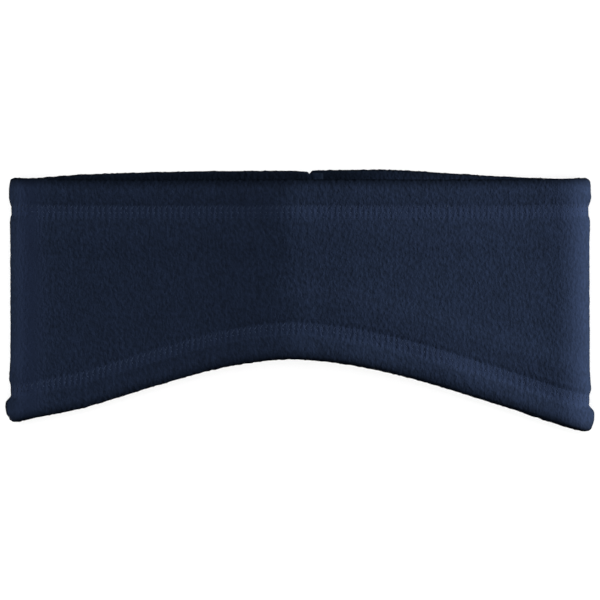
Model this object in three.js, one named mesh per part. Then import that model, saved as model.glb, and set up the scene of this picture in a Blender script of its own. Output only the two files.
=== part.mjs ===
// An ear warmer headband of napped fleece, lying flat with its front over its back.
// Millimetres. +X runs along the band to the right, +Y from the contoured lower edge to the straight
// upper edge, +Z up from the surface that the back lies on.
// The cloth is followed round the loop in stations, and each piece is a section swept through them.
import * as THREE from 'three';

// Overall sizes of the band as it lies
const FLAT_WIDTH = 239.6; // from fold to fold, over the plain body
const FOLD_HEIGHT = 104.7; // from lower to upper edge at the folds
const LEFT_DIP = 26; // how far the lower edge falls from its crown to the left fold
const RIGHT_DIP = 29.9; // and to the right fold
const FOLD_TOP_RISE = 1.1; // how much higher the upper edge is at the folds than along the front
const BACK_RISE = 4.8; // how far the back is shifted up past the front at mid length
const LOOP_TURN = 4; // the loop is turned a little: the front's middle lies left, the seam right
const RIDGE_RISE = 7; // the soft crease down the middle of the front
const FOLD_REACH = 9.4; // length of a fold's curve inside the loop
const MOUTH = 6.4; // height of the open mouth between the hems, beside the folds

// Cloth and hems
const CLOTH = 2.4; // one layer of fleece with its nap
const HEM_LAYER = 2.4; // the turned-in layer behind it
const GAP = 0.3; // clearance between neighbouring pieces
const ROLL = 1.7; // how far the roll of a hem's edge reaches into the hem
const TOP_HEM_DEPTH = 16; // from the upper edge to the far row of stitches
const BOTTOM_HEM_DEPTH = 15.2; // from the lower edge to the far row of stitches
const STITCH_BAND = 5.4; // width of the stitched band inside that depth
const LAP = 1.8; // how far the turned-in layer runs on behind the body
const LAP_LAYER = 1.5; // its thickness there, pressed by the stitches
const STITCH_SINK = 0.9; // how far the stitches draw the flat faces in
const TOP_FOLD_SINK = 0.45; // the folds at the upper stitches
const BOTTOM_FOLD_SINK = 0.2; // and the folds at the lower ones
const HEM_PUFF = 0.6; // how far the hem stands out between the stitches and its edge
const TOP_FOLD_PUFF = 0.6; // how far the upper hem kicks out at the folds
const BOTTOM_FOLD_PUFF = 2; // and the lower hem
const BODY_PUFF = 0.45; // the body's swell beside a stitched band, on the flat faces
const TOP_FOLD_SWELL = 0.3; // at the folds, beside the upper band
const BOTTOM_FOLD_SWELL = 0.65; // and beside the lower band
const BODY_PUFF_RUN = 18; // how far in that swell runs

// Centre-back seam
const SEAM_WIDTH = 5.6; // the allowance, pressed to the right
const SEAM_THICK = 3.2;
const SEAM_END_STEP = 1.3; // its ends stop this far short of the hem edges
const NOTCH_DEPTH = 1.4; // the small V that the seam leaves in each edge
const NOTCH_HALF = 1.7;
const SEAM_SINK = 0.5; // the crease along the seam on the outside

// Stations round the loop
const FRONT_STEPS = 24;
const BACK_STEPS = 11; // on each side of the seam
const FOLD_STEPS = 12; // round each fold

// The front's height over its length, from the left fold's tip (-1) to the right one's (1)
const FRONT_LIFT = [
  { at: -1.0, lift: 0 },
  { at: -0.93, lift: 0.01 },
  { at: -0.86, lift: 0.03 },
  { at: -0.76, lift: 0.095 },
  { at: -0.62, lift: 0.213 },
  { at: -0.46, lift: 0.376 },
  { at: -0.3, lift: 0.573 },
  { at: -0.16, lift: 0.8 },
  { at: -0.04, lift: 0.95 },
  { at: 0.08, lift: 0.927 },
  { at: 0.2, lift: 0.88 },
  { at: 0.35, lift: 0.734 },
  { at: 0.5, lift: 0.562 },
  { at: 0.65, lift: 0.36 },
  { at: 0.78, lift: 0.182 },
  { at: 0.87, lift: 0.074 },
  { at: 0.94, lift: 0.015 },
  { at: 1.0, lift: 0 },
];

// The lower edge's fall from its crown (0) to a fold (1), in shares of that side's dip
const EDGE_FALL = [
  { at: 0, left: 0, right: 0 },
  { at: 0.16, left: 0.07, right: 0.055 },
  { at: 0.3, left: 0.195, right: 0.16 },
  { at: 0.45, left: 0.385, right: 0.32 },
  { at: 0.6, left: 0.59, right: 0.51 },
  { at: 0.75, left: 0.79, right: 0.705 },
  { at: 0.9, left: 0.925, right: 0.91 },
  { at: 1, left: 1, right: 1 },
];

// How much of the back's shift shows over its length
const BACK_SHARE = [
  { at: -1.0, rise: 0 },
  { at: -0.8, rise: 0.45 },
  { at: -0.6, rise: 0.72 },
  { at: -0.35, rise: 0.86 },
  { at: 0, rise: 0.93 },
  { at: 0.3, rise: 1 },
  { at: 0.5, rise: 0.72 },
  { at: 0.7, rise: 0.4 },
  { at: 0.86, rise: 0.16 },
  { at: 1.0, rise: 0 },
];

const HALF = FLAT_WIDTH / 2;
const HEM = CLOTH + HEM_LAYER;
const PRESSED = CLOTH + GAP + LAP_LAYER; // the hem's thickness under the stitches
const SPAN = HALF - HEM - FOLD_REACH;
const REACH = SPAN + FOLD_REACH; // from the middle to the inside of a fold's tip
const INTO = 0.2 * STITCH_BAND; // half of the run in which the cloth sinks to the stitches
const TOP = {
  depth: TOP_HEM_DEPTH,
  foldPuff: TOP_FOLD_PUFF,
  foldSink: TOP_FOLD_SINK,
  foldSwell: TOP_FOLD_SWELL,
};
const BOTTOM = {
  depth: BOTTOM_HEM_DEPTH,
  foldPuff: BOTTOM_FOLD_PUFF,
  foldSink: BOTTOM_FOLD_SINK,
  foldSwell: BOTTOM_FOLD_SWELL,
};

const ease = (t) => {
  const s = Math.min(1, Math.max(0, t));
  return s * s * (3 - 2 * s);
};
const swell = (t) => (t <= 0 || t >= 1 ? 0 : Math.sin(Math.PI * t) ** 2);

// A smooth curve through one column of a table, level at its first and last rows.
function follow(rows, at, column) {
  const last = rows.length - 1;
  if (at <= rows[0].at) return rows[0][column];
  if (at >= rows[last].at) return rows[last][column];
  let i = 0;
  while (at > rows[i + 1].at) i += 1;
  const slope = (k) => {
    if (k <= 0 || k >= last) return 0;
    return (rows[k + 1][column] - rows[k - 1][column]) / (rows[k + 1].at - rows[k - 1].at);
  };
  const run = rows[i + 1].at - rows[i].at;
  const t = (at - rows[i].at) / run;
  const bend = t * (1 - t) * run * ((1 - t) * slope(i) - t * slope(i + 1));
  return rows[i][column] + (rows[i + 1][column] - rows[i][column]) * ease(t) + bend;
}

// Heights of the lower and upper edges at a place along the band, on the front or on the back.
function edges(x, onBack) {
  const crown = -LOOP_TURN;
  const side = x < crown ? 'left' : 'right';
  const dip = x < crown ? LEFT_DIP : RIGHT_DIP;
  const reach = x < crown ? HALF + crown : HALF - crown;
  const fall = dip * follow(EDGE_FALL, Math.abs(x - crown) / reach, side);
  const foldRise = FOLD_TOP_RISE * Math.min(1, Math.abs(x) / HALF) ** 6;
  const rise = onBack ? BACK_RISE * follow(BACK_SHARE, x / HALF, 'rise') : 0;
  const near = onBack ? Math.max(0, 1 - Math.abs(x - LOOP_TURN) / NOTCH_HALF) : 0;
  const notch = NOTCH_DEPTH * near;
  return {
    lower: RIGHT_DIP - fall + rise + notch,
    upper: FOLD_HEIGHT - FOLD_TOP_RISE + foldRise + rise - notch,
  };
}

// One station of the loop: its place on the hems' inner face in the band's cross-section, the way
// out of the loop there, and the two edges.
function station(x, z, outX, outZ, onBack) {
  const long = Math.hypot(outX, outZ);
  const outside = x + HEM * outX / long;
  return { x, z, outX: outX / long, outZ: outZ / long, onBack, ...edges(outside, onBack) };
}

const backStation = (x) => station(x, HEM, 0, -1, true);

const frontLift = (x) => RIDGE_RISE * follow(FRONT_LIFT, x / REACH, 'lift');
const frontFall = (x) => frontLift(x - 0.5) - frontLift(x + 0.5); // over a millimetre towards +X

function frontStation(x) {
  return station(x, HEM + MOUTH + frontLift(x), frontFall(x), 1, false);
}

// A fold is half an ellipse on the inside, and its stations are spaced by the way they face. Its
// upper half rises and leans with the front.
function foldStation(side, angle) {
  const outX = Math.cos(angle);
  const outZ = Math.sin(angle);
  const onBack = angle < 0;
  const high = MOUTH / 2;
  const long = Math.hypot(FOLD_REACH * outX, high * outZ);
  const x = side * (SPAN + FOLD_REACH ** 2 * outX / long);
  const rise = onBack ? 0 : frontLift(x);
  const lean = onBack ? 0 : frontFall(x) * outZ;
  const z = HEM + high + high ** 2 * outZ / long + rise;
  return station(x, z, side * outX + lean, outZ, onBack);
}

// All stations once round: along the back to the right, up the right fold, back along the front to
// the left, and down the left fold.
function loopStations() {
  const list = [];
  const run = (from, to, steps, make) => {
    for (let i = 0; i < steps; i += 1) list.push(make(from + (to - from) * i / steps));
  };
  const quarter = Math.PI / 2;
  run(-SPAN, LOOP_TURN - NOTCH_HALF, BACK_STEPS, backStation);
  run(LOOP_TURN - NOTCH_HALF, LOOP_TURN + NOTCH_HALF, 2, backStation);
  run(LOOP_TURN + NOTCH_HALF, SPAN, BACK_STEPS, backStation);
  run(-quarter, quarter, FOLD_STEPS, (angle) => foldStation(1, angle));
  run(SPAN, -SPAN, FRONT_STEPS, frontStation);
  run(quarter, -quarter, FOLD_STEPS, (angle) => foldStation(-1, angle));
  return list;
}

// How far the outer face stands out of the plain loop, at a depth in from a hem's edge. The hem
// swells from its edge to a crest and falls to the stitches, and the body swells beyond them.
function relief(s, depth, hem) {
  const bandStart = hem.depth - STITCH_BAND;
  const crest = 0.6 * bandStart;
  const fallFrom = 0.78 * bandStart;
  const puff = (1 - Math.max(0, 1 - depth / crest) ** 2)
    * (1 - ease((depth - fallFrom) / (bandStart + INTO - fallFrom)));
  const sink = ease((depth - bandStart + 0.5 * INTO) / (2 * INTO))
    * (1 - ease((depth - hem.depth + INTO) / (2 * INTO)));
  const past = (depth - hem.depth) / BODY_PUFF_RUN;
  const face = HEM_PUFF * puff - STITCH_SINK * sink + BODY_PUFF * swell(past);
  const fold = hem.foldPuff * puff - hem.foldSink * sink
    + hem.foldSwell * ease(7 * past) * (1 - ease(past / 0.7));
  const flat = s.outZ > 0 ? face : Math.min(0, face);
  const seam = s.onBack ? SEAM_SINK * Math.max(0, 1 - Math.abs(s.x - LOOP_TURN) / NOTCH_HALF) : 0;
  return fold * s.outX ** 2 + flat * s.outZ ** 2 - seam;
}

// A point at a height along the band, standing out of the plain loop's outer face.
const place = (s, y, out) => [s.x + s.outX * (HEM + out), y, s.z + s.outZ * (HEM + out)];

// The body's section at a station: up its outer face from hem to hem, and back down the inner face.
function bodySection(s) {
  const runs = [0, 0.14, 0.3, 0.55, 1].map((t) => GAP + t * BODY_PUFF_RUN);
  const low = runs.map((run) => BOTTOM.depth + run);
  const high = runs.map((run) => TOP.depth + run).reverse();
  const spots = [
    ...low.map((depth) => [s.lower + depth, relief(s, depth, BOTTOM)]),
    ...high.map((depth) => [s.upper - depth, relief(s, depth, TOP)]),
  ];
  return [
    ...spots.map(([y, out]) => place(s, y, out)),
    ...spots.reverse().map(([y, out]) => place(s, y, out - CLOTH)),
  ];
}

// The hem is pressed thinner where it is stitched.
function hemThickness(depth, hem) {
  return HEM + (PRESSED - HEM) * ease((depth - hem.depth + STITCH_BAND + INTO) / (2 * INTO));
}

// A hem's section: round the roll of its edge, along its outer face to the stitches, the step that
// the body sits against, the lap behind the body, and back along the inside.
function hemSection(s, hem) {
  const spot = (depth, out) => place(s, hem === TOP ? s.upper - depth : s.lower + depth, out);
  const outer = (depth) => relief(s, depth, hem);
  const half = HEM / 2;
  const turns = [-90, -56, -20, 20, 56, 90].map((degrees) => degrees * Math.PI / 180);
  const bandStart = hem.depth - STITCH_BAND;
  const alongFace = [0.3, 0.58, 0.8].map((t) => ROLL + t * (bandStart - ROLL));
  const depths = [...alongFace, bandStart, bandStart + 1.5 * INTO, hem.depth - INTO, hem.depth];
  const lapEnd = hem.depth + LAP;
  const lap = (depth) => outer(depth) - CLOTH - GAP;
  return [
    ...turns.map((a) => spot(ROLL * (1 - Math.cos(a)), outer(ROLL) - half + half * Math.sin(a))),
    ...depths.map((depth) => spot(depth, outer(depth))),
    spot(hem.depth, lap(hem.depth)),
    spot(lapEnd, lap(lapEnd)),
    spot(lapEnd, lap(lapEnd) - LAP_LAYER),
    ...depths.reverse().map((depth) => spot(depth, outer(depth) - hemThickness(depth, hem))),
  ];
}

// Height of the back's inner face over the surface, at a place on it.
function innerHeight(x, y) {
  const s = backStation(x);
  const hem = y - s.lower < s.upper - y ? BOTTOM : TOP;
  const depth = Math.min(y - s.lower, s.upper - y);
  const out = relief(s, depth, hem);
  if (depth > hem.depth + LAP) return CLOTH - out;
  return Math.max(PRESSED, hemThickness(depth, hem)) - out;
}

// The seam allowance lies along the back's inner face, over both hems.
function seamSections() {
  const left = LOOP_TURN;
  const right = LOOP_TURN + SEAM_WIDTH;
  const across = [0, 0.25, 0.5, 0.75, 1].map((t) => left + t * SEAM_WIDTH);
  const bed = (y) => GAP + Math.max(
    ...across.flatMap((x) => [-1, 0, 1].map((dy) => innerHeight(x, y + dy))),
  );
  const lowest = Math.max(...across.map((x) => edges(x, true).lower)) + SEAM_END_STEP;
  const highest = Math.min(...across.map((x) => edges(x, true).upper)) - SEAM_END_STEP;
  // From each end in: over the roll, the hem, the stitches and the lap, then down to the body.
  const stretch = (hem) => [SEAM_END_STEP, 0.4 * hem.depth, 0.7 * hem.depth, hem.depth,
    hem.depth + LAP, hem.depth + 3 * LAP, hem.depth + BODY_PUFF_RUN]
    .map((depth) => depth - SEAM_END_STEP);
  const ys = [
    ...stretch(BOTTOM).map((run) => lowest + run),
    ...stretch(TOP).reverse().map((run) => highest - run),
  ];
  return ys.map((y) => [
    [left, 0],
    [right, 0],
    [right, 0.55],
    [right - 0.12 * SEAM_WIDTH, 0.9],
    [(left + right) / 2, 1],
    [left + 0.12 * SEAM_WIDTH, 0.94],
    [left, 0.7],
  ].map(([x, share]) => [x, y, bed(y) + share * SEAM_THICK]));
}

// Skins a row of sections, each a closed outline. The row is a ring that closes on itself, or a
// bar with an end on its first and last sections.
function skin(sections, isRing) {
  const size = sections[0].length;
  const faces = [];
  const spans = isRing ? sections.length : sections.length - 1;
  for (let i = 0; i < spans; i += 1) {
    const here = i * size;
    const next = ((i + 1) % sections.length) * size;
    for (let k = 0; k < size; k += 1) {
      const l = (k + 1) % size;
      faces.push(here + k, next + k, next + l, here + k, next + l, here + l);
    }
  }
  const end = (sections.length - 1) * size;
  for (let k = 1; k + 1 < size && !isRing; k += 1) {
    faces.push(0, k, k + 1, end, end + k + 1, end + k);
  }
  return outwards(sections.flat(2), faces);
}

// A geometry whose faces point out, whichever way round they were listed.
function outwards(points, faces) {
  const corner = (i) => new THREE.Vector3().fromArray(points, 3 * faces[i]);
  let volume = 0;
  for (let i = 0; i < faces.length; i += 3) {
    volume += corner(i).dot(corner(i + 1).cross(corner(i + 2))) / 6;
  }
  const geometry = new THREE.BufferGeometry();
  geometry.setAttribute('position', new THREE.Float32BufferAttribute(points, 3));
  geometry.setIndex(volume > 0 ? faces : faces.reverse());
  geometry.computeVertexNormals();
  return geometry;
}

function piece(name, geometry, colour) {
  const material = new THREE.MeshStandardMaterial({ color: colour, roughness: 0.95, metalness: 0 });
  const mesh = new THREE.Mesh(geometry, material);
  mesh.name = name;
  return mesh;
}

const stations = loopStations();
const band = new THREE.Group();
band.add(piece('band_body', skin(stations.map(bodySection), true), '#202a41'));
band.add(piece('top_hem', skin(stations.map((s) => hemSection(s, TOP)), true), '#202a41'));
band.add(piece('bottom_hem', skin(stations.map((s) => hemSection(s, BOTTOM)), true), '#202a41'));
band.add(piece('back_seam', skin(seamSections(), false), '#1c253a'));

// The part's origin is the middle of its footprint, on the surface.
const box = new THREE.Box3().setFromObject(band);
const middle = box.getCenter(new THREE.Vector3());
band.children.forEach((mesh) => mesh.geometry.translate(-middle.x, -middle.y, -box.min.z));

export default band;
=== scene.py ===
"""A navy fleece ear warmer headband that lies flat, its front over its back, seen from above.

Sizes in this script are millimetres until a mesh is written, and the row frame is the CAD part's:
+X along the band, +Y to the straight upper edge, +Z up from the surface that the back lies on.
"""
import math

import bpy
import numpy as np
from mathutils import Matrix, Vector


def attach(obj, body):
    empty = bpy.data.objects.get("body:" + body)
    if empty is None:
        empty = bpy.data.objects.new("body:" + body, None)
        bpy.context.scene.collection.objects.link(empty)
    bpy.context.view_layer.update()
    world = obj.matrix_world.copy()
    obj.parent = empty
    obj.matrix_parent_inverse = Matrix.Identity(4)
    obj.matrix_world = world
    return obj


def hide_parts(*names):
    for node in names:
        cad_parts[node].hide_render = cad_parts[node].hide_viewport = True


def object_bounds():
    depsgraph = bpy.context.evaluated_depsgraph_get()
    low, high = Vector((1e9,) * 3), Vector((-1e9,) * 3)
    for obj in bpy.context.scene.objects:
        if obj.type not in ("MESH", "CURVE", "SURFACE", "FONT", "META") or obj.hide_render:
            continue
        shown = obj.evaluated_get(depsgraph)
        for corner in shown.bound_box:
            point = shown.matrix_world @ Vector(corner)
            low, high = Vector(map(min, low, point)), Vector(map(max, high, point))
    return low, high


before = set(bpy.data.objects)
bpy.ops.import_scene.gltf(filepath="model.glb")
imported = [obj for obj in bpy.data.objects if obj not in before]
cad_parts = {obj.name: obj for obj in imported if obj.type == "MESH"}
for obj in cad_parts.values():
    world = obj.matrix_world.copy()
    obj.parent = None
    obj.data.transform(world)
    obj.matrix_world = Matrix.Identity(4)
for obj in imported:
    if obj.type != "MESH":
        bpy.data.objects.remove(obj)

cad_low, cad_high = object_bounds()

# The loop's own sizes, the same as the CAD part's but for the dip at the stitches
FLAT_WIDTH = 239.6      # from fold to fold
FOLD_HEIGHT = 104.7     # from the lowest corner to the top of the folds
LEFT_DIP = 26.0         # fall of the lower edge from its crown to the left fold
RIGHT_DIP = 29.9        # and to the right fold
FOLD_TOP_RISE = 1.1     # rise of the upper edge at the folds
BACK_RISE = 4.8         # how far the back stands up behind the front
LOOP_TURN = 4.0         # the loop is turned a little: its seam lies this far right, its crown left
RIDGE_RISE = 7.0        # height of the front's ridge over the front at rest
FOLD_REACH = 9.4        # how far each fold's open half ellipse reaches out
MOUTH = 6.4             # height of the open mouth between the hems, beside the folds
CLOTH = 2.4             # thickness of the one layer of the body
HEM_LAYER = 2.4         # and of a hem's turned-in layer
GAP = 0.3               # space left between neighbouring parts
ROLL = 1.7              # depth of a hem's rolled edge
STITCH_BAND = 5.4       # width of a stitched band
LAP = 1.8               # how far the turned-in layer runs on past the stitches
LAP_LAYER = 1.5         # and its thickness where they press it
STITCH_SINK = 0.4       # the faces' dip at the stitches, shallower than the solids'
HEM_PUFF = 0.6          # the hems' crest on the faces
BODY_PUFF = 0.45        # the body's swell beside the stitches
BODY_PUFF_RUN = 18.0    # and how far it runs
SEAM_WIDTH = 5.6        # the seam allowance's width
SEAM_THICK = 3.2        # and height
SEAM_END_STEP = 1.3     # and how far its ends stop short of the edges
NOTCH_DEPTH = 1.4       # the V where the seam meets the back's edges
NOTCH_HALF = 1.7        # half width of the crease along the seam
SEAM_SINK = 0.5         # and its depth

# Each hem's depth; on the folds its puff, its sink at the stitches and the body's swell past them;
# its one soft rise on the front, as height, x, run to the left and right, depth and run in depth;
# and the depths of the three needle rows, from the band's upper row down
TOP = {"depth": 16.0, "puff": 0.6, "sink": 0.45, "swell": 0.3,
       "rise": (0.75, -6.0, 11.0, 11.0, 13.0, 4.5), "rows": (11.55, 13.7, 15.7)}
BOTTOM = {"depth": 15.2, "puff": 2.0, "sink": 0.2, "swell": 0.65,
          "rise": (1.1, 63.0, 14.0, 24.0, 9.0, 6.5), "rows": (14.0, 12.4, 10.1)}

# The ridge's share of its height along the front, from fold to fold
FRONT_LIFT = np.array([
    (-1.0, 0.0), (-0.93, 0.01), (-0.86, 0.03), (-0.76, 0.095), (-0.62, 0.213), (-0.46, 0.376),
    (-0.3, 0.573), (-0.16, 0.8), (-0.04, 0.95), (0.08, 0.927), (0.2, 0.88), (0.35, 0.734), (0.5,
    0.562), (0.65, 0.36), (0.78, 0.182), (0.87, 0.074), (0.94, 0.015), (1.0, 0.0)])
# The lower edge's share of its dip, from the crown to a fold
LEFT_FALL = np.array([(0, 0), (0.16, 0.07), (0.3, 0.195), (0.45, 0.385), (0.6, 0.59), (0.75, 0.79),
                      (0.9, 0.925), (1, 1)])
RIGHT_FALL = np.array([(0, 0), (0.16, 0.055), (0.3, 0.16), (0.45, 0.32), (0.6, 0.51), (0.75, 0.705),
                       (0.9, 0.91), (1, 1)])
# The share of its rise that the back shows, from fold to fold
BACK_SHARE = np.array([
    (-1.0, 0), (-0.8, 0.45), (-0.6, 0.72), (-0.35, 0.86), (0, 0.93), (0.3, 1), (0.5, 0.72),
    (0.7, 0.4), (0.86, 0.16), (1.0, 0)])

HALF = FLAT_WIDTH / 2
HEM = CLOTH + HEM_LAYER                 # a hem's two layers
PRESSED = CLOTH + GAP + LAP_LAYER       # the same where the stitches press them
SPAN = HALF - HEM - FOLD_REACH          # where the flat faces end and the folds begin
REACH = SPAN + FOLD_REACH
INTO = 0.2 * STITCH_BAND                # half of the run in which the cloth sinks to the stitches

# Where a hem is full and where it falls again, as shares of its width outside the stitches: on the
# folds as in the solids, and sooner and more softly on the faces
FOLD_CREST, FACE_CREST = (0.6, 0.78), (0.45, 0.45)
SWELL_FULL, SWELL_GONE = 1 / 7, 0.7     # where the body's swell on the folds is full and gone

# Finer forms that the solids leave out
DIP_OUTSIDE = 1.5       # how far outside the stitches the faces' dip begins,
DIP_INSIDE = 0.6        # how far inside them it ends,
DIP_RUN = 3.0           # and the run of each of its slopes
CORNER_RUN = 3.2        # how far in the left fold's corners are rounded
NOTCH_STEEP = 0.6       # share of the notch's depth in its steep middle
NOTCH_CORE = 0.9        # half width of that middle
NOTCH_FLANKS = (6.5, 1.2)       # run of its gentle flanks to the left and right

# How finely the loop is divided
SEAM_ZONE, SEAM_STEPS = 4.0, 40         # half width of the stretch at the seam, and its stations
FOLD_STEPS = 62         # stations round each fold
FACE_STEP = 0.55        # from row to row of a hem's face

# Stitches and nap
STITCH = 2.3            # one stitch of the coverstitched bands
THREAD = 0.14           # radius of the textured polyester thread
TAPER = np.array([0.55, 0.95, 1.0, 0.95, 0.55])     # its shares of that along one stitch
FLAT_NAP = 0.022        # height of the nap's tufts on the flat faces
EDGE_NAP = 0.3          # and of its locks where the cloth turns and the pile opens
EDGE_RUN = 2.4          # how far in from an edge the pile opens
WAVE_HIGH = 0.06        # height of the cloth's broad soft waves
STREAK_HIGH = 0.03      # and of the streaks up the hems
PUCKER = 0.055          # height of the pillows between the stitches
PINCH, PINCH_HALF = 0.02, 0.42          # depth and half width of the pinch along a needle row
OVERLOCK = 2.5          # one stitch of the overlocked allowance

# The nap's patterns: a cell's run along the loop and across it, and its layer of random heights
SMALL_TUFTS, LARGE_TUFTS, LOCKS = (1.05, 1.15, 0), (2.3, 2.8, 1), (1.1, 1.7, 5)
WAVES, STREAKS, DRIFT = (21, 30, 2), (1.9, 7.0, 3), (5, 5, 4)
SEAM_TUFTS = (1.3, 1.5, 5)

# Painted shade round a fold's outline: the turn where it begins, how fast it grows, and how much
# more at the tip
LEFT_LIMB_SHADE, RIGHT_LIMB_SHADE = (0.5, 1.3, 0.9), (0.6, 0.8, 0.3)
FOLD_HIGHLIGHT = (1.7, 0.4)  # how much painted highlight lies beside the left fold and the right one,
FOLD_HIGHLIGHT_FROM, FOLD_HIGHLIGHT_RUN = 3, 9      # from this far before a fold's start, growing over this run
SCALLOP = 0.35          # height of the pressed band's scallops
PAINTED_SHADE_DEPTH = 4.4         # how far in from an edge the painted shade reaches

# The fleece material's own pattern
TUFT = 1.25             # a tuft's width
TUFT_TALL = 0.75        # scale of the tufts up the band, less than 1 to make them taller
PILE, PILE_SHARE = 0.7, 0.2     # the finer pile's width, and its height as a share of a tuft's
TUFT_HIGH = 0.22        # height of a tuft
CLUMP = 7.0             # width of the paler and darker clumps
FIBRE, FIBRE_HIGH = 0.3, 0.08           # the thread's filaments
# The pressed pile's paler colour, also used for the painted highlight by the folds, and the painted
# shade's colour
PRESSED_AND_FOLD_HIGHLIGHT_COLOUR, PAINTED_SHADE_COLOUR = "#263046", "#0c1119"

LATTICE_SIDE = 512
rng = np.random.default_rng(7)
LATTICE = rng.uniform(-1, 1, (6, LATTICE_SIDE, LATTICE_SIDE))


# ---------------------------------------------------------------- shapes

def ease(t):
    """0 to 1 on a smooth step: t squared times 3 less 2 t, with t held in 0 to 1."""
    t = np.clip(t, 0, 1)
    return t * t * (3 - 2 * t)


def between(depth, first, last, run):
    """1 from one depth to another and 0 outside: a smooth step over a run at the first, times 1
    less the same step at the last."""
    return ease((depth - first) / run) * (1 - ease((depth - last) / run))


def swell(t):
    """A hump over 0 to 1: the square of the sine of half a turn times t, and 0 outside."""
    return np.where((t > 0) & (t < 1), np.sin(np.pi * np.clip(t, 0, 1)) ** 2, 0)


def follow(table, at):
    """A smooth curve through a table's rows: an eased step between rows, bent by the slope that
    each inner row takes from its two neighbours."""
    place, value = table[:, 0], table[:, 1]
    at = np.clip(at, place[0], place[-1])
    i = np.clip(np.searchsorted(place, at, side="left") - 1, 0, len(place) - 2)
    slope = np.zeros(len(place))
    slope[1:-1] = (value[2:] - value[:-2]) / (place[2:] - place[:-2])
    run = place[i + 1] - place[i]
    t = (at - place[i]) / run
    bend = t * (1 - t) * run * ((1 - t) * slope[i] - t * slope[i + 1])
    return value[i] + (value[i + 1] - value[i]) * ease(t) + bend


def edges(x, on_back):
    """Heights of the lower and upper edges at x: each side's dip times its table, the folds' rise
    as the sixth power of x, and on the back its shift and the seam's V, which is a narrow triangle
    and a wide one together."""
    crown = -LOOP_TURN
    away = np.abs(x - crown)
    fall = np.where(x < crown, LEFT_DIP * follow(LEFT_FALL, away / (HALF + crown)),
                    RIGHT_DIP * follow(RIGHT_FALL, away / (HALF - crown)))
    fold_rise = FOLD_TOP_RISE * np.minimum(1, np.abs(x) / HALF) ** 6
    rise = on_back * BACK_RISE * follow(BACK_SHARE, x / HALF)
    aside = x - LOOP_TURN
    steep = np.maximum(0, 1 - np.abs(aside) / NOTCH_CORE)
    gentle = np.maximum(0, 1 - np.abs(aside) / np.where(aside < 0, *NOTCH_FLANKS))
    notch = on_back * NOTCH_DEPTH * (NOTCH_STEEP * steep + (1 - NOTCH_STEEP) * gentle)
    return (RIGHT_DIP - fall + rise + notch,
            FOLD_HEIGHT - FOLD_TOP_RISE + fold_rise + rise - notch)


def front_lift(x):
    """Height of the front over its resting height at x: the lift table, times the ridge."""
    return RIDGE_RISE * follow(FRONT_LIFT, x / REACH)


def front_fall(x):
    """How far the front falls over a millimetre towards +X."""
    return front_lift(x - 0.5) - front_lift(x + 0.5)


def loop_stations(back_count, front_count):
    """The loop's stations once round, as columns: x and z on the hems' inner face, the way out, the
    edges there, whether it is the back, and the length so far round the outer face. They run along
    the flat back, round a half ellipse at the right, along the lifted front and round the left."""
    seam_from, seam_to = LOOP_TURN - SEAM_ZONE, LOOP_TURN + SEAM_ZONE
    back_x = np.concatenate([
        np.linspace(-SPAN, seam_from, back_count, endpoint=False),
        np.linspace(seam_from, seam_to, SEAM_STEPS, endpoint=False),
        np.linspace(seam_to, SPAN, back_count, endpoint=False)])
    front_x = np.linspace(SPAN, -SPAN, front_count, endpoint=False)
    turn = np.linspace(-np.pi / 2, np.pi / 2, FOLD_STEPS, endpoint=False)
    columns = []

    def take(x, z, out_x, out_z, on_back):
        long = np.hypot(out_x, out_z)
        out_x, out_z = out_x / long, out_z / long
        low, up = edges(x + HEM * out_x, on_back)
        columns.append(np.stack([x, z, out_x, out_z, low, up, on_back + 0 * x]))

    def fold(side, angle):
        out_x, out_z = np.cos(angle), np.sin(angle)
        high = MOUTH / 2
        long = np.hypot(FOLD_REACH * out_x, high * out_z)
        x = side * (SPAN + FOLD_REACH ** 2 * out_x / long)
        front = angle >= 0
        take(x, HEM + high + high ** 2 * out_z / long + front * front_lift(x),
             side * out_x + front * front_fall(x) * out_z, out_z, (~front).astype(float))

    take(back_x, HEM + 0 * back_x, 0 * back_x, -1 + 0 * back_x, 1.0)
    fold(1, turn)
    take(front_x, HEM + MOUTH + front_lift(front_x), front_fall(front_x), 1 + 0 * front_x, 0.0)
    fold(-1, -turn)
    x, z, out_x, out_z, low, up, on_back = np.concatenate(columns, 1)
    ring = np.stack([x + HEM * out_x, z + HEM * out_z])
    steps = np.hypot(*(np.roll(ring, -1, 1) - ring))
    far = np.concatenate([[0], np.cumsum(steps)])
    return {"x": x, "z": z, "out_x": out_x, "out_z": out_z, "low": low, "up": up,
            "on_back": on_back, "far": far[:-1], "round": far[-1]}


def relief(s, depth, hem):
    """How far the outer face stands out of the plain loop at a depth in from a hem's edge: a puff
    to a crest, a sink at the stitches, and the body's swell past them. The folds and the faces have
    their own heights, mixed by the squares of the way out."""
    start = hem["depth"] - STITCH_BAND
    past = (depth - hem["depth"]) / BODY_PUFF_RUN

    def crest(full, fall):
        """A parabola up to where the hem is full, then an eased fall into the stitches."""
        rise = 1 - np.maximum(0, 1 - depth / (full * start)) ** 2
        return rise * (1 - ease((depth - fall * start) / (start + INTO - fall * start)))

    round_corner = np.where(s["x"] < 0, ease(depth / CORNER_RUN), 1)
    fold = (hem["puff"] * crest(*FOLD_CREST) * round_corner
            - hem["sink"] * between(depth, start - 0.5 * INTO, hem["depth"] - INTO, 2 * INTO)
            + hem["swell"] * ease(past / SWELL_FULL) * (1 - ease(past / SWELL_GONE)))
    dip = between(depth, start - DIP_OUTSIDE, hem["depth"] - DIP_INSIDE, DIP_RUN)
    face = HEM_PUFF * crest(*FACE_CREST) - STITCH_SINK * dip + BODY_PUFF * swell(past)
    high, x, left, right, deep, tall = hem["rise"]
    aside = s["x"] - x
    run = np.where(aside < 0, left, right)
    face = face + (1 - s["on_back"]) * high * np.exp(
        -(aside / run) ** 2 - ((depth - deep) / tall) ** 2)
    flat = np.where(s["out_z"] > 0, face, np.minimum(0, face))
    return fold * s["out_x"] ** 2 + flat * s["out_z"] ** 2


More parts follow.
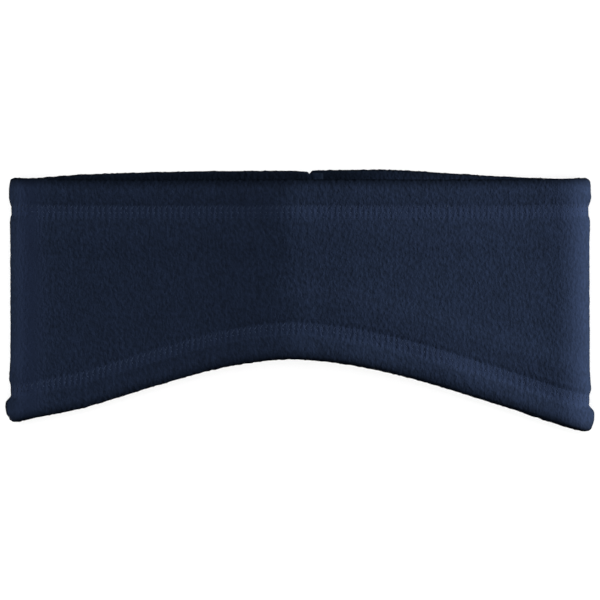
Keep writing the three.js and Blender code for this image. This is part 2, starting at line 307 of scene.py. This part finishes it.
def seam_crease(s):
    """The outside's crease along the centre-back seam, a V across it."""
    near = np.maximum(0, 1 - np.abs(s["x"] - LOOP_TURN) / NOTCH_HALF)
    return s["on_back"] * SEAM_SINK * near


def tufts(far, y, cell_far, cell_y, layer, whole):
    """Smooth random heights from -1 to 1: a random value at each corner of a grid that closes
    round the loop, eased between the corners. 64 cells are added to y to keep it above 0."""
    count = max(1, round(whole / cell_far))
    u, v = far / whole * count, y / cell_y + 64
    i, j = np.floor(u).astype(int), np.floor(v).astype(int)
    a, b = ease(u - i), ease(v - j)
    i0, i1 = i % count % LATTICE_SIDE, (i + 1) % count % LATTICE_SIDE
    j0, j1 = j % LATTICE_SIDE, (j + 1) % LATTICE_SIDE
    grid = LATTICE[layer]
    return ((grid[i0, j0] * (1 - a) + grid[i1, j0] * a) * (1 - b)
            + (grid[i0, j1] * (1 - a) + grid[i1, j1] * a) * b)


def nap(s, y, depth, hem):
    """The fleece's own unevenness, as a height: small and large tufts, locks that stand up where
    the cloth turns, broad soft waves, streaks up the hems, and in the stitched band a cosine of one
    stitch for its pillows and a pinch along each needle row."""
    whole = s["round"]
    far = s["far"] + 0 * y
    start = hem["depth"] - STITCH_BAND
    beat = np.cos(2 * np.pi * far / STITCH)
    turned = np.maximum(0.5 * s["out_x"] ** 4, ease(1 - depth / EDGE_RUN))
    lumps = 0.8 * tufts(far, y, *SMALL_TUFTS, whole) + 0.2 * tufts(far, y, *LARGE_TUFTS, whole)
    locks = np.maximum(0, tufts(far, y, *LOCKS, whole) - 0.1)
    out = FLAT_NAP * lumps + EDGE_NAP * turned * (0.25 * lumps + locks)
    out = out + WAVE_HIGH * tufts(far, y, *WAVES, whole)
    in_hem = ease(depth / 3) * (1 - ease((depth - start) / 1.5))
    out = out + STREAK_HIGH * in_hem * tufts(far, y, *STREAKS, whole)
    in_band = between(depth, start - 0.6, hem["depth"] + 0.4, 1.0)
    drift = 0.7 + 0.3 * tufts(far, y, *DRIFT, whole)
    out = out + PUCKER * in_band * drift * beat
    for row in hem["rows"]:
        out = out - PINCH * np.exp(-((depth - row) / PINCH_HALF) ** 2) * (1 - 0.5 * beat)
    return out


def height_at(s, depth, hem):
    """The height y at a depth in from a hem's edge."""
    return s["up"] - depth if hem is TOP else s["low"] + depth


def at(s, y, out):
    """A point at height y, standing out of the plain loop's outer face."""
    return np.stack([s["x"] + s["out_x"] * (HEM + out), y + 0 * s["x"],
                     s["z"] + s["out_z"] * (HEM + out)], -1)


def column(s):
    """The stations as columns, so that rows of a section broadcast against them."""
    return {k: v[:, None] if isinstance(v, np.ndarray) else v for k, v in s.items()}


def outer_face(s, depth, hem):
    """How far out the finished face is: relief, seam crease and nap together."""
    return relief(s, depth, hem) - seam_crease(s) + nap(s, height_at(s, depth, hem), depth, hem)


def hem_thickness(depth, hem):
    """The hem's thickness at a depth: two layers, pressed thinner across the stitched band."""
    return HEM + (PRESSED - HEM) * ease((depth - hem["depth"] + STITCH_BAND + INTO) / (2 * INTO))


def shades(s, depth, hem):
    """Two shares for the material. The first is how pale the pile is: pressed flat across the
    stitched band, with scallops a stitch long, and a painted highlight beside the folds, where it
    goes past 1. The second is painted shade, near the edge and round the folds' outlines."""
    start = hem["depth"] - STITCH_BAND
    beat = SCALLOP * np.cos(2 * np.pi * s["far"] / STITCH)
    pressed_pile_and_fold_highlight = between(depth, start - 0.4 - beat, hem["depth"] - 0.5 + beat, 1.2)
    pressed_pile_and_fold_highlight = pressed_pile_and_fold_highlight * (0.7 + 0.5 * beat)
    turned = np.abs(s["out_x"])
    # Painted highlight beside the folds, strongest by the left one
    fold_highlight = ((1 - s["on_back"]) * ease((np.abs(s["x"]) - SPAN + FOLD_HIGHLIGHT_FROM) / FOLD_HIGHLIGHT_RUN)
              * (1 - ease((turned - 0.25) / 0.4)) * np.where(s["x"] < 0, *FOLD_HIGHLIGHT))
    # Painted shade round each fold's outline, growing faster on the left
    begin, rate, more = (np.where(s["x"] > 0, right, left)
                         for left, right in zip(LEFT_LIMB_SHADE, RIGHT_LIMB_SHADE))
    limb_shade = np.clip(rate * (turned - begin) + more * ease((turned - 0.88) / 0.1), 0, 1)
    # Painted shade on the rolled edge
    painted_shade = np.clip(1 - depth / PAINTED_SHADE_DEPTH, 0, 1) ** 1.3
    return {"pressed_pile_and_fold_highlight": fold_highlight + pressed_pile_and_fold_highlight * (1 - 0.3 * fold_highlight), "painted_shade": 1 - (1 - painted_shade) * (1 - limb_shade)}


def hem_grid(s, hem):
    """A hem's section at every station, one folded sheet: from the tip of the roll along the outer
    face, down at the stitches, back between the layers, out along the turned-in layer to its raw
    edge, and back along the inside to the tip."""
    s = column(s)
    half = HEM / 2
    crease = seam_crease(s)
    start_out = relief(s, np.array([ROLL]), hem)
    start, lap_end = hem["depth"] - STITCH_BAND, hem["depth"] + LAP
    turn = np.linspace(0, np.pi / 2, 7)
    face_rows = np.arange(1, int((hem["depth"] - ROLL) / FACE_STEP))
    face = np.concatenate([ROLL + FACE_STEP * face_rows, hem["depth"] - np.array([0.3, 0.12, 0])])
    slit = np.linspace(hem["depth"], 1.4 * ROLL, 8)
    slit_up = np.append(slit[::-1], lap_end)
    inside = np.concatenate([np.linspace(lap_end, start, 9), np.linspace(start, ROLL, 9)[1:]])
    depths, outs = [], []

    def put(depth, out):
        depths.append(depth + 0 * s["x"])
        outs.append(out + 0 * s["x"])

    def roll(angle):
        """Places on the roll at angles from its tip, with its tufts standing square to it."""
        depth = ROLL * (1 - np.cos(angle))
        rough = nap(s, height_at(s, 0, hem) + half * angle, depth, hem)
        put(depth - rough * np.cos(angle), start_out - half + (half + rough) * np.sin(angle)
            - crease * (0.5 + 0.5 * np.sin(angle)))

    roll(turn)
    put(face, outer_face(s, face, hem))
    put(slit, relief(s, slit, hem) - crease - CLOTH)
    put(slit_up, relief(s, slit_up, hem) - crease - CLOTH - GAP)
    put(inside, relief(s, inside, hem) - hem_thickness(inside, hem))
    roll(np.linspace(-np.pi / 2, 0, 7)[1:-1])
    depth, out = np.concatenate(depths, 1), np.concatenate(outs, 1)
    cuts = np.cumsum([len(turn) + len(face), len(slit), len(slit_up)]) - 1
    values = shades(s, depth, hem)
    # Painted shade on the back's inside under the mouth, less to the right, where the mouth is open
    mouth_shade = s["on_back"] * np.clip(relief(s, depth, hem) - half - out, 0, 1)
    mouth_shade = mouth_shade * (1 - 0.6 * ease((s["x"] - 12) / 40))
    values["painted_shade"] = np.maximum(values["painted_shade"], 0.85 * mouth_shade * np.clip(1.5 - depth / 8, 0, 1))
    return at(s, height_at(s, depth, hem), out), cuts, values


def body_grid(s):
    """The body's section at every station: up the outer face from stitches to stitches and back
    down the inner face, a cloth's thickness behind."""
    s = column(s)
    low, up = s["low"] + BOTTOM["depth"], s["up"] - TOP["depth"]
    share = np.concatenate([[0, 0.0016, 0.0045], np.linspace(0.009, 0.991, 106),
                            [0.9955, 0.9984, 1]])
    back = np.linspace(1, 0, 14)
    face = len(share)
    y = low + (up - low) * np.concatenate([share, back])
    d_low, d_up = y - s["low"], s["up"] - y
    plain = relief(s, d_low, BOTTOM) + relief(s, d_up, TOP) - seam_crease(s)
    rough = np.where(share < 0.5, nap(s, y[:, :face], d_low[:, :face], BOTTOM),
                     nap(s, y[:, :face], d_up[:, :face], TOP))
    out = np.concatenate([plain[:, :face] + rough, plain[:, face:] - CLOTH], 1)
    below, above = shades(s, d_low, BOTTOM), shades(s, d_up, TOP)
    values = {key: np.maximum(below[key], above[key]) for key in below}
    return at(s, y, out), np.array([face - 1, face + len(back) - 1]), values


# ---------------------------------------------------------------- meshes

# From this script's y to the row frame's: the solids' lowest row is 20 degrees round the roll
SHIFT = np.array([0.0, cad_low.y * 1000 - ROLL * (1 - math.cos(math.radians(20))), 0.0])


def write_mesh(name, points, quads, material, sharp=None, values=None):
    """One object from points in millimetres and a table of quads, turned to face outwards by the
    sign of the volume that it encloses."""
    points = (points.reshape(-1, 3) + SHIFT) / 1000
    a, b, c, d = (points[quads[:, k]] for k in range(4))
    volume = np.einsum("ij,ij->", a, np.cross(b, c)) + np.einsum("ij,ij->", a, np.cross(c, d))
    if volume < 0:
        quads = quads[:, ::-1]
    mesh = bpy.data.meshes.new(name)
    mesh.vertices.add(len(points))
    mesh.vertices.foreach_set("co", points.ravel())
    mesh.loops.add(quads.size)
    mesh.loops.foreach_set("vertex_index", quads.ravel().astype(np.int32))
    mesh.polygons.add(len(quads))
    mesh.polygons.foreach_set("loop_start", np.arange(0, quads.size, 4, dtype=np.int32))
    mesh.polygons.foreach_set("loop_total", np.full(len(quads), 4, np.int32))
    smooth = np.ones(len(quads), bool) if sharp is None else ~sharp
    mesh.polygons.foreach_set("use_smooth", smooth)
    mesh.update(calc_edges=True)
    mesh.validate()
    for key, value in (values or {}).items():
        stored = mesh.attributes.new(key, "FLOAT", "POINT")
        stored.data.foreach_set("value", value.ravel().astype(np.float32))
    mesh.materials.append(material)
    piece = bpy.data.objects.new(name, mesh)
    bpy.context.scene.collection.objects.link(piece)
    return piece


def ring_quads(stations, rows):
    """The quads of a grid that closes both round the loop and round its section."""
    i, k = np.meshgrid(np.arange(stations), np.arange(rows), indexing="ij")
    i2, k2 = (i + 1) % stations, (k + 1) % rows
    return np.stack([i * rows + k, i2 * rows + k, i2 * rows + k2, i * rows + k2], -1).reshape(-1, 4)


def thread_grid(path, radius, normal):
    """Threads as six-sided tubes: path is threads x points x 3, radius a value a point, and each
    ring is the radius times the cosine of the way across the thread and the sine of the cloth's
    way out. Two quads close each end."""
    count, steps, _ = path.shape
    along = np.gradient(path, axis=1)
    across = np.cross(along, normal)
    across /= np.linalg.norm(across, axis=2, keepdims=True) + 1e-9
    up = np.cross(across, along)
    up /= np.linalg.norm(up, axis=2, keepdims=True) + 1e-9
    angle = np.arange(6) * np.pi / 3
    ring = (across[:, :, None] * np.cos(angle)[:, None] + up[:, :, None] * np.sin(angle)[:, None])
    points = path[:, :, None] + radius[None, :, None, None] * ring
    j, k = np.meshgrid(np.arange(steps - 1), np.arange(6), indexing="ij")
    k2 = (k + 1) % 6
    sides = np.stack([j * 6 + k, j * 6 + k2, (j + 1) * 6 + k2, (j + 1) * 6 + k], -1).reshape(-1, 4)
    end = (steps - 1) * 6
    caps = np.array([[3, 2, 1, 0], [5, 4, 3, 0], [end, end + 1, end + 2, end + 3],
                     [end, end + 3, end + 4, end + 5]])
    one = np.concatenate([sides, caps])
    quads = (one[None] + (np.arange(count) * steps * 6)[:, None, None]).reshape(-1, 4)
    return points, quads


def together(grids):
    """Several grids' points and quads as one table of each."""
    points, quads, base = [], [], 0
    for grid, faces in grids:
        points.append(grid.reshape(-1, 3))
        quads.append(faces + base)
        base += len(points[-1])
    return np.concatenate(points), np.concatenate(quads)


# ---------------------------------------------------------------- materials

def linear(code):
    """A colour's sRGB hex value as linear red, green and blue, with 1 behind them."""
    parts = [int(code[i:i + 2], 16) / 255 for i in (1, 3, 5)]
    return [p / 12.92 if p <= 0.04045 else ((p + 0.055) / 1.055) ** 2.4 for p in parts] + [1.0]


def add(tree, kind, values=None, links=None, **options):
    """One node of a kind, with its options, its inputs' values and the sockets linked to them."""
    made = tree.nodes.new(kind)
    for key, value in options.items():
        setattr(made, key, value)
    for key, value in (values or {}).items():
        made.inputs[key].default_value = value
    for key, socket in (links or {}).items():
        tree.links.new(socket, made.inputs[key])
    return made


def new_material(name, roughness, specular):
    """A material with its Principled shader alone, wired to the output."""
    made = bpy.data.materials.new(name)
    made.use_nodes = True
    tree = made.node_tree
    tree.nodes.clear()
    shader = add(tree, "ShaderNodeBsdfPrincipled",
                 {"Roughness": roughness, "Specular IOR Level": specular})
    add(tree, "ShaderNodeOutputMaterial", links={"Surface": shader.outputs[0]})
    return made, tree, shader


def fleece(name, dark, light):
    """Polar fleece, knitted polyester brushed and sheared to a short pile. To the eye it is matt,
    with soft tufts one to two millimetres across, paler where stitches press the pile flat, with a
    painted highlight beside the folds, and painted shade on the rolled edges, the folds and the
    back's inside."""
    made, tree, shader = new_material(name, roughness=0.95, specular=0.0)
    place = add(tree, "ShaderNodeTexCoord").outputs["Object"]
    tall = add(tree, "ShaderNodeMapping", {"Scale": (1.0, TUFT_TALL, 1.0)},
               {"Vector": place}).outputs[0]
    # Tufts 1.25 mm wide and 1.7 mm tall, finer pile on them, and clumps 7 mm across
    tuft = add(tree, "ShaderNodeTexNoise", {"Scale": 1000 / TUFT, "Detail": 1.0, "Roughness": 0.5},
               {"Vector": tall}).outputs["Fac"]
    pile = add(tree, "ShaderNodeTexNoise", {"Scale": 1000 / PILE, "Detail": 1.0, "Roughness": 0.5},
               {"Vector": tall}).outputs["Fac"]
    clump = add(tree, "ShaderNodeTexNoise",
                {"Scale": 1000 / CLUMP, "Detail": 2.0, "Roughness": 0.6},
                {"Vector": place}).outputs["Fac"]
    height = add(tree, "ShaderNodeMath", {1: PILE_SHARE}, {0: pile, 2: tuft},
                 operation="MULTIPLY_ADD").outputs[0]
    bump = add(tree, "ShaderNodeBump", {"Strength": 1.0, "Distance": TUFT_HIGH / 1000},
               {"Height": height})
    spread = add(tree, "ShaderNodeMath", {1: 0.4}, {0: clump, 2: tuft},
                 operation="MULTIPLY_ADD").outputs[0]
    share = add(tree, "ShaderNodeMapRange", {"From Min": 0.45, "From Max": 0.95},
                {"Value": spread}).outputs[0]
    colour = add(tree, "ShaderNodeMix", {6: linear(dark), 7: linear(light)}, {0: share},
                 data_type="RGBA", clamp_factor=False).outputs[2]
    # Paler pressed pile with the painted highlight by the folds, then the painted shade, each mixed
    # in by its share
    for key, code in (("pressed_pile_and_fold_highlight", PRESSED_AND_FOLD_HIGHLIGHT_COLOUR), ("painted_shade", PAINTED_SHADE_COLOUR)):
        amount = add(tree, "ShaderNodeAttribute", attribute_name=key).outputs["Fac"]
        colour = add(tree, "ShaderNodeMix", {7: linear(code)}, {0: amount, 6: colour},
                     data_type="RGBA", clamp_factor=False).outputs[2]
    tree.links.new(colour, shader.inputs["Base Color"])
    tree.links.new(bump.outputs[0], shader.inputs["Normal"])
    return made


def thread(name, colour):
    """Textured polyester sewing thread, dyed to match: a bulky filament yarn with a soft twist,
    a little glossier and paler than the pile that it is sunk in."""
    made, tree, shader = new_material(name, roughness=0.7, specular=0.05)
    place = add(tree, "ShaderNodeTexCoord").outputs["Object"]
    fibre = add(tree, "ShaderNodeTexNoise", {"Scale": 1000 / FIBRE, "Detail": 1.0},
                {"Vector": place}).outputs["Fac"]
    bump = add(tree, "ShaderNodeBump", {"Strength": 0.6, "Distance": FIBRE_HIGH / 1000},
               {"Height": fibre})
    tree.links.new(bump.outputs[0], shader.inputs["Normal"])
    shader.inputs["Base Color"].default_value = linear(colour)
    return made


FLEECE = fleece("navy_polar_fleece_sheared_pile", "#1d2535", "#242e43")
ALLOWANCE = fleece("navy_polar_fleece_cut_edge", "#18202e", "#1e2738")
THREAD_DYED = thread("navy_textured_polyester_thread", "#222c3f")


# ---------------------------------------------------------------- the band's cloth

def cloth_piece(name, grid, cuts, values, node):
    """A swept piece of the band's cloth, sharp only across its cut edges."""
    stations, rows, _ = grid.shape
    quads = ring_quads(stations, rows)
    sharp = np.isin(np.arange(len(quads)) % rows, cuts)
    piece = write_mesh(name, grid, quads, FLEECE, sharp, values)
    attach(piece, "root")
    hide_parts(node)
    return piece


# The hems have more stations, for the locks of pile along their edges
loop = loop_stations(84, 436)
fine_loop = loop_stations(160, 470)
WHOLE = loop["round"]

body = cloth_piece("fleece_body", *body_grid(loop), "band_body")
top_hem = cloth_piece("fleece_top_hem", *hem_grid(fine_loop, TOP), "top_hem")
bottom_hem = cloth_piece("fleece_bottom_hem", *hem_grid(fine_loop, BOTTOM), "bottom_hem")


# ---------------------------------------------------------------- stitches

def loop_at(far):
    """The stations' columns at any length round the loop, between the two nearest stations."""
    far = np.mod(far, WHOLE)
    ends = np.append(loop["far"], WHOLE)
    got = {}
    for key in ("x", "z", "out_x", "out_z", "low", "up", "on_back"):
        got[key] = np.interp(far, ends, np.append(loop[key], loop[key][0]))
    long = np.hypot(got["out_x"], got["out_z"])
    got["out_x"], got["out_z"] = got["out_x"] / long, got["out_z"] / long
    got["far"], got["round"] = far, WHOLE
    return got


def strokes(hem, starts, run, depth_from, depth_to, bow, sunk, proud, inside=False):
    """Threads over a hem's face: each goes evenly from one depth to another over its run along
    the band, bowed by the sine of half a turn, stands proud by a power of the same sine and dives
    in at both ends."""
    t = np.linspace(0, 1, len(TAPER))
    far = starts[:, None] + run * t + bow * np.sin(np.pi * t)
    depth = depth_from + (depth_to - depth_from) * t + 0 * far
    s = loop_at(far)
    if inside:
        face = relief(s, depth, hem) - hem_thickness(depth, hem) - seam_crease(s)
        way = -1
    else:
        face = outer_face(s, depth, hem)
        way = 1
    dome = np.sin(np.pi * t) ** 0.6
    points = at(s, height_at(s, depth, hem), face + way * (proud * dome - sunk * (1 - dome)))
    normal = way * np.stack([s["out_x"], 0 * far, s["out_z"]], -1)
    return points, normal


def stitch_rows(name, hem):
    """A coverstitched band: in its upper row a slanting loop of two strands a stitch, in the middle
    row a short raised stitch, in the last a shorter one sunk in the pile, and behind them the
    looper threads' zigzag over the raw edge."""
    count = round(WHOLE / STITCH)
    starts = np.arange(count) * WHOLE / count
    # Each needle row has its own unevenness, and one draw is to spare
    first, second, third = rng.normal(0, 0.07, (4, count))[:3]
    one, two, three = hem["rows"]
    up = 1 if hem is TOP else -1
    # Where each starts, its run, its two depths, bow, how far it is sunk and proud; its thickness
    sets = [
        (strokes(hem, starts + first, 1.3, one - 1.1 * up, one + 1.1 * up, 0.1, 0.15, 0.02), 1.0),
        (strokes(hem, starts + first + 0.6, 0.7, one - 0.3 * up, one + 0.6 * up,
                 0.45, 0.2, -0.05), 0.8),
        (strokes(hem, starts + second + 0.5, 0.7, two + 0.35 * up, two - 0.35 * up,
                 0, 0.2, 0.03), 1.3),
        (strokes(hem, starts + third + 0.3, 0.8, three, three, 0, 0.2, 0.0), 1.1),
        (strokes(hem, starts, 1.2, one, three, 0, 0.05, 0.2, True), 1.0),
        (strokes(hem, starts + 1.15, 1.2, three, one, 0, 0.05, 0.28, True), 1.0),
        (strokes(hem, starts, 2.2, two, two, 0, 0.05, 0.34, True), 1.0),
    ]
    grids = (thread_grid(path, THREAD * thick * TAPER, normal) for (path, normal), thick in sets)
    piece = write_mesh(name, *together(grids), THREAD_DYED)
    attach(piece, "root")
    return piece


top_stitches = stitch_rows("top_coverstitch", TOP)
bottom_stitches = stitch_rows("bottom_coverstitch", BOTTOM)


# ---------------------------------------------------------------- seam allowance

def inner_height(x, y):
    """Height of the back's inner face over the surface at x and y: the cloth's thickness there,
    less how far its outer face stands out."""
    low, up = edges(x, 1.0)
    s = {"out_x": 0 * x, "out_z": -1 + 0 * x, "x": x, "on_back": 1.0}
    near_low = y - low < up - y
    d_low, d_up = np.maximum(0, y - low), np.maximum(0, up - y)
    deep = np.where(near_low, d_low, d_up)
    past_lap = deep > np.where(near_low, BOTTOM["depth"], TOP["depth"]) + LAP
    out = np.where(near_low, relief(s, d_low, BOTTOM), relief(s, d_up, TOP))
    out = out - np.where(past_lap, seam_crease(s), 0)
    thick = np.where(near_low, hem_thickness(d_low, BOTTOM), hem_thickness(d_up, TOP))
    return np.where(past_lap, CLOTH, np.maximum(PRESSED, thick)) - out


# The bar's section, as shares of its width and height: two layers and the slit between their edges
SEAM_SECTION = np.array([
    (0.0, 0.05), (0.25, 0.0), (0.5, 0.0), (0.75, 0.0), (0.95, 0.0), (1.0, 0.12), (1.0, 0.36),
    (0.965, 0.46), (0.5, 0.47), (0.08, 0.48), (0.08, 0.5), (0.5, 0.51), (0.965, 0.52), (1.0, 0.6),
    (0.99, 0.78), (0.93, 0.92), (0.8, 0.98), (0.62, 1.0), (0.44, 1.0), (0.26, 0.98),
    (0.12, 0.92), (0.03, 0.8)])
# How far its places on the cut edge, from the fourth to the eighteenth, are painted darker: painted
# shade on the side that faces the right lamp
SEAM_EDGE_SHADE = [0.3, 0.7, 1, 1, 1, 1, 1, 1, 1, 1, 1, 1, 0.9, 0.6, 0.2]
SEAM_END = 1.1          # how far in the bar's ends are rounded


def seam_grid():
    """The two overlocked allowances as one bar along the back's inner face: the section at each
    height along the seam, laid on the highest of the cloth's places near it, and drawn in at both
    ends by a quarter circle."""
    low, up = (float(v[0]) for v in edges(np.array([LOOP_TURN + SEAM_WIDTH / 2]), 1.0))
    ys = np.linspace(low + SEAM_END_STEP, up - SEAM_END_STEP, 190)
    probe_x = LOOP_TURN + SEAM_WIDTH * np.linspace(0, 1, 9)
    bed = GAP + np.max([inner_height(probe_x, ys[:, None] + aside).max(1)
                        for aside in (-1.0, 0.0, 1.0)], 0)
    end = np.minimum(1, np.minimum(ys - ys[0], ys[-1] - ys) / SEAM_END)
    drawn = (np.sqrt(1 - (1 - end) ** 2) * 0.55 + 0.45)[:, None]
    across, high = SEAM_SECTION.T - 0.5
    x = LOOP_TURN + SEAM_WIDTH * (0.5 + across * (0.96 + 0.04 * drawn))
    z = bed[:, None] + SEAM_THICK * (0.5 + high * drawn)
    y = ys[:, None] + 0 * x
    rough = 0.07 * tufts(y, x * 3 + z * 2, *SEAM_TUFTS, 200.0)
    return np.stack([x + rough * 0.5, y, z + rough], -1), ys, bed


def seam_quads(stations, rows):
    """A bar's quads: its sides from ring to ring, and its ends filled layer by layer round the
    slit."""
    i, k = np.meshgrid(np.arange(stations - 1), np.arange(rows), indexing="ij")
    i2, k2 = i + 1, (k + 1) % rows
    sides = np.stack([i * rows + k, i2 * rows + k, i2 * rows + k2, i * rows + k2], -1)
    end = np.array([
        (0, 1, 8, 9), (1, 2, 3, 8), (3, 4, 7, 8), (4, 5, 6, 7), (21, 0, 9, 10), (10, 11, 20, 21),
        (11, 18, 19, 20), (11, 16, 17, 18), (11, 12, 15, 16), (12, 13, 14, 15)])
    return np.concatenate([sides.reshape(-1, 4), end, (end + (stations - 1) * rows)[:, ::-1]])


seam_points, seam_ys, seam_bed = seam_grid()
# Painted shade on the bar's cut edge, the side that faces the right lamp
seam_edge_shade = np.zeros(seam_points.shape[:2])
seam_edge_shade[:, 3:18] = SEAM_EDGE_SHADE
seam = write_mesh("seam_allowance", seam_points, seam_quads(*seam_points.shape[:2]), ALLOWANCE,
                  values={"painted_shade": seam_edge_shade})
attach(seam, "root")
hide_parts("back_seam")


def overlock_threads():
    """The overlock's threads over the allowance: from a chain along its left third, a loop each
    stitch runs over the top, round the raw edge and under it."""
    count = int((seam_ys[-1] - seam_ys[0] - 2) / OVERLOCK)
    start = seam_ys[0] + 1 + OVERLOCK * np.arange(count)
    bed = np.interp(start, seam_ys, seam_bed)[:, None]
    start = start[:, None]
    left, right = LOOP_TURN + 1.6, LOOP_TURN + SEAM_WIDTH + 0.12
    top = SEAM_THICK + 0.12
    t = np.linspace(0, 1, 7)
    over_x = left + (right - left) * np.array([0, 0.2, 0.45, 0.7, 0.92, 1.0, 1.0])
    over_z = top - np.array([0.25, 0, 0, 0, 0.15, 0.8, 1.7])
    over = np.stack([over_x + 0 * bed, start + 1.1 * t, bed + over_z], -1)
    back = np.stack([over_x + 0 * bed, start + 2.3 - 1.1 * t, bed + over_z + 0.02], -1)
    chain = np.stack([left - 0.05 + 0.12 * np.sin(np.pi * t) + 0 * bed, start + 2.4 * t,
                      bed + top + 0.06 * np.sin(np.pi * t)], -1)
    way = np.zeros((count, len(t), 3))
    way[:, :, 2] = 1
    way[:, 4:, 0] = np.array([0.6, 1.0, 1.4])
    way /= np.linalg.norm(way, axis=2, keepdims=True)
    thin_ends = THREAD * np.array([0.7, 1, 1, 1, 1, 1, 0.7])
    return together(thread_grid(path, thin_ends, way) for path in (over, back, chain))


overlock = write_mesh("seam_overlock_threads", *overlock_threads(), THREAD_DYED)
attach(overlock, "root")

# So that no dark pits lie beside the threads under the low lamps
for piece in (seam, overlock, top_stitches, bottom_stitches):
    piece.visible_shadow = False


# ---------------------------------------------------------------- floor, light and camera

# Metres from here on
FLOOR_HALF = 6.0
FLOOR_DROP = 0.0003     # how far the floor lies below the band
LAMP_FAR = 2.2          # from the band's middle to each of its lamps
FLOOR_LAMP_HIGH, FLOOR_LAMP_SIDE = 2.6, 2.6
CAMERA_HIGH = 1.1
# Lamps on the band: bearing from +X and height angle in degrees, side and power in watts
LAMPS = [
    ("low_lamp_right", 8, 11.5, 0.5, 157.0),
    ("low_lamp_left", 180, 5, 0.6, 76.0),
    ("low_lamp_front", 270, 3, 1.0, 8.0),
    ("low_lamp_back", 90, 3, 1.0, 8.0),
]
ROOM = 0.02             # the room's own faint light
WHITE = (1, 1, 1)


def collection_of(name, pieces):
    """A collection that gathers pieces for the lamps that light them."""
    made = bpy.data.collections.new(name)
    bpy.context.scene.collection.children.link(made)
    for piece in pieces:
        made.objects.link(piece)
    return made


def light(name, where, size, power, only, shaded_by=None):
    """A soft white square lamp, turned to the band's middle, that lights one collection, and is
    shaded by every piece or by one collection alone."""
    lamp = bpy.data.lights.new(name, "AREA")
    lamp.shape, lamp.size, lamp.energy, lamp.color = "SQUARE", size, power, WHITE
    made = bpy.data.objects.new(name, lamp)
    bpy.context.scene.collection.objects.link(made)
    made.location = where
    made.rotation_euler = (-Vector(where)).to_track_quat("-Z", "Y").to_euler()
    made.light_linking.receiver_collection = only
    if shaded_by:
        made.light_linking.blocker_collection = shaded_by


# A sheet of pale matt paper, which throws no light back onto the band
paper, tree, shader = new_material("pale_studio_floor", roughness=1.0, specular=0.0)
shader.inputs["Base Color"].default_value = linear("#f4f4f4")
floor_mesh = bpy.data.meshes.new("floor")
floor_mesh.from_pydata([(-FLOOR_HALF, -FLOOR_HALF, 0), (FLOOR_HALF, -FLOOR_HALF, 0),
                        (FLOOR_HALF, FLOOR_HALF, 0), (-FLOOR_HALF, FLOOR_HALF, 0)],
                       [], [(0, 1, 2, 3)])
floor_mesh.materials.append(paper)
floor = bpy.data.objects.new("floor", floor_mesh)
floor.location.z = -FLOOR_DROP
bpy.context.scene.collection.objects.link(floor)
floor.visible_diffuse = False

lit = collection_of("band_only", (body, top_hem, bottom_hem, seam, top_stitches, bottom_stitches,
                                  overlock))
for name, bearing, rise, side, power in LAMPS:
    a, b = math.radians(bearing), math.radians(rise)
    light(name, (LAMP_FAR * math.cos(a) * math.cos(b), LAMP_FAR * math.sin(a) * math.cos(b),
                 LAMP_FAR * math.sin(b)), side, power, lit)

# Most of the floor's light passes the band, so that its shadow stays as faint as on white paper
ground = collection_of("floor_only", (floor,))
overhead = (0.0, 0.0, FLOOR_LAMP_HIGH)
light("floor_lamp", overhead, FLOOR_LAMP_SIDE, 35, ground)
light("floor_fill_lamp", overhead, FLOOR_LAMP_SIDE, 75, ground, ground)

world = bpy.data.worlds.new("pale_room")
bpy.context.scene.world = world
world.use_nodes = True
background = world.node_tree.nodes["Background"]
background.inputs[0].default_value = (*WHITE, 1)
background.inputs[1].default_value = ROOM

camera = bpy.data.cameras.new("camera")
camera.sensor_width = 36
camera.lens = 158.3
camera.clip_end = 50
eye = bpy.data.objects.new("camera", camera)
eye.location = (0.0, 0.0, CAMERA_HIGH)
bpy.context.scene.collection.objects.link(eye)
bpy.context.scene.camera = eye
bpy.context.scene.view_settings.view_transform = "Standard"
